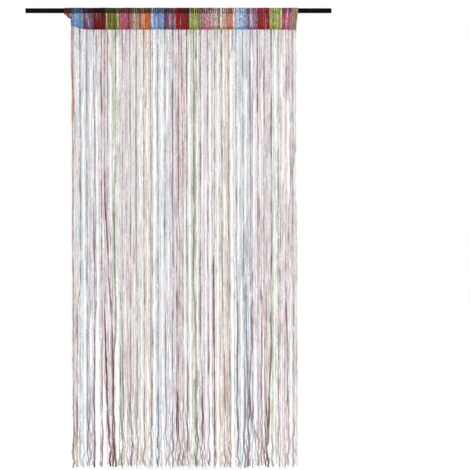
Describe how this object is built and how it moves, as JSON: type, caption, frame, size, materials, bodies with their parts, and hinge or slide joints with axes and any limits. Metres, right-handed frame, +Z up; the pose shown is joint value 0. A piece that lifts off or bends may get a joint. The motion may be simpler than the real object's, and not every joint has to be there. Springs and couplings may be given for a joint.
{
  "type": "sequin string door curtain with rod",
  "caption": "String curtain for a doorway: glittering coloured strings hang as a fringe from a striped knitted band, which is a tube round a plain straight rod.",
  "frame": {"origin": "middle of the rod, on its axis", "axes": "+X along the rod to the curtain's right as seen from its face, -Y the way the face looks, +Z up"},
  "size_m": [1.35, 0.0266, 2.0331],
  "materials": {
    "rod_black": "black, smooth, slightly glossy",
    "header_knit": "open warp knit of lurex yarn in vertical stripes of blue, purple, red, green, pink, beige and orange",
    "string_tinsel": "flat chain-knit tinsel string with sequin-like glints, in the colours of the band above it"
  },
  "bodies": {
    "root": {"rod": "rod_black", "header": "header_knit", "strings": "string_tinsel"}
  },
  "joints": []
}
